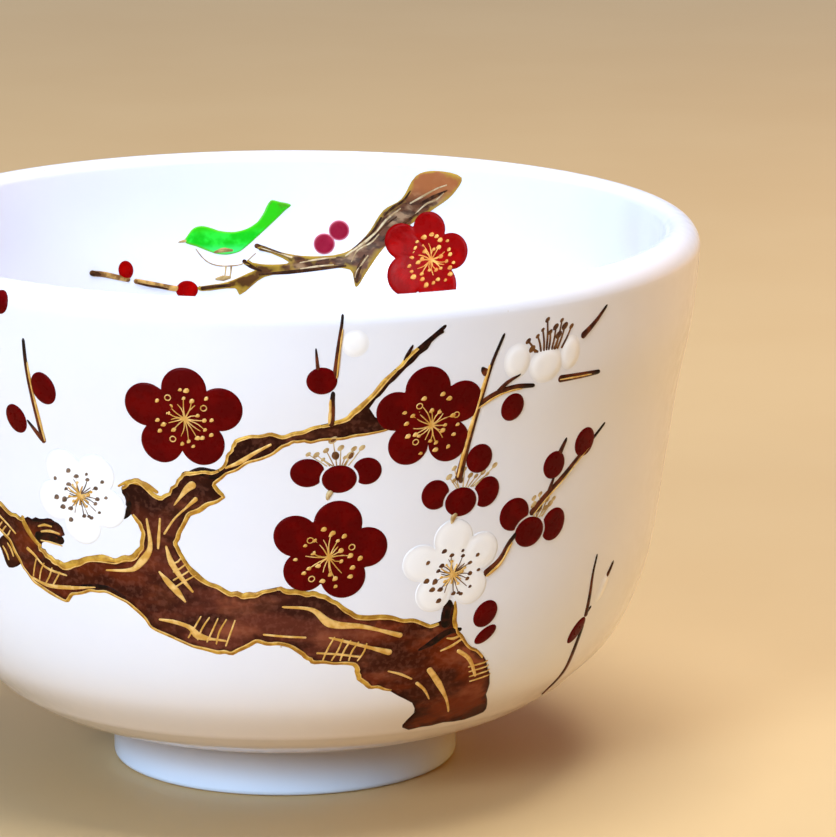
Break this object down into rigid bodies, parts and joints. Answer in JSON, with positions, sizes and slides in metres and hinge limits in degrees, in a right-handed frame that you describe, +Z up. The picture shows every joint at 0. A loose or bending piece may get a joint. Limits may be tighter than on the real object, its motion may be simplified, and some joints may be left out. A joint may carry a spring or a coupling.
{
  "type": "matcha bowl",
  "caption": "Deep white glazed tea bowl on a foot ring, with raised enamel plum branches, blossoms and buds outside and a branch with a small green bird inside the lip.",
  "frame": {"origin": "on the bowl's axis, at the plane that the foot ring stands on", "axes": "+Z up along the bowl's axis; -Y is the front, where the painted trunk rises; +X to the right of the front"},
  "size_m": [0.12, 0.1202, 0.079],
  "materials": {
    "white_glaze": "clear satin glaze over white clay",
    "red_enamel": "raised deep maroon overglaze enamel",
    "bright_red_enamel": "raised bright red overglaze enamel",
    "white_enamel": "raised opaque white overglaze enamel",
    "brown_enamel": "mottled purple brown overglaze enamel",
    "green_enamel": "glossy translucent green overglaze enamel",
    "gold_line": "burnished liquid gold lines and stamens"
  },
  "bodies": {
    "root": {"bowl_body": "white_glaze", "foot_ring": "white_glaze", "old_trunk": "brown_enamel", "bud_back_lower": "red_enamel", "bud_back_upper": "red_enamel", "bud_far_right": "red_enamel", "bud_left_twig_lower": "red_enamel", "bud_left_twig_upper": "red_enamel", "bud_lip_left": "red_enamel", "bud_mid_right": "red_enamel", "bud_side_high": "red_enamel", "bud_side_low": "red_enamel", "bud_trunk_large": "red_enamel", "bud_trunk_small": "red_enamel", "bud_upper_middle": "red_enamel", "bud_upper_right": "red_enamel", "inside_blossom": "bright_red_enamel", "inside_branch": "brown_enamel", "inside_bud_lower": "bright_red_enamel", "inside_bud_rim": "bright_red_enamel", "inside_bud_twig": "bright_red_enamel", "inside_bud_upper": "bright_red_enamel", "inside_twig_middle": "brown_enamel", "inside_twig_tip": "brown_enamel", "nodding_petal_mid_left": "red_enamel", "nodding_petal_mid_middle": "red_enamel", "nodding_petal_mid_right": "red_enamel", "nodding_petal_side_left": "red_enamel", "nodding_petal_side_middle": "red_enamel", "nodding_petal_side_right": "red_enamel", "nodding_petal_upper_left": "red_enamel", "nodding_petal_upper_middle": "red_enamel", "nodding_petal_upper_right": "red_enamel", "plum_blossom_far_left": "red_enamel", "plum_blossom_left": "red_enamel", "plum_blossom_low": "red_enamel", "plum_blossom_right": "red_enamel", "twig_back": "brown_enamel", "twig_far_left": "brown_enamel", "twig_far_right_root": "brown_enamel", "twig_far_right_top": "brown_enamel", "twig_left": "brown_enamel", "twig_lip_right": "brown_enamel", "twig_right_short": "brown_enamel", "twig_right_tall": "brown_enamel", "twig_side_level": "brown_enamel", "twig_side_lower": "brown_enamel", "twig_side_upper": "brown_enamel", "twig_upper": "brown_enamel", "twig_upper_root": "brown_enamel", "warbler": "green_enamel", "white_blossom_left": "white_enamel", "white_blossom_right": "white_enamel", "white_bud_far_right": "white_enamel", "white_bud_upper": "white_enamel", "white_half_blossom": "white_enamel"}
  },
  "joints": []
}
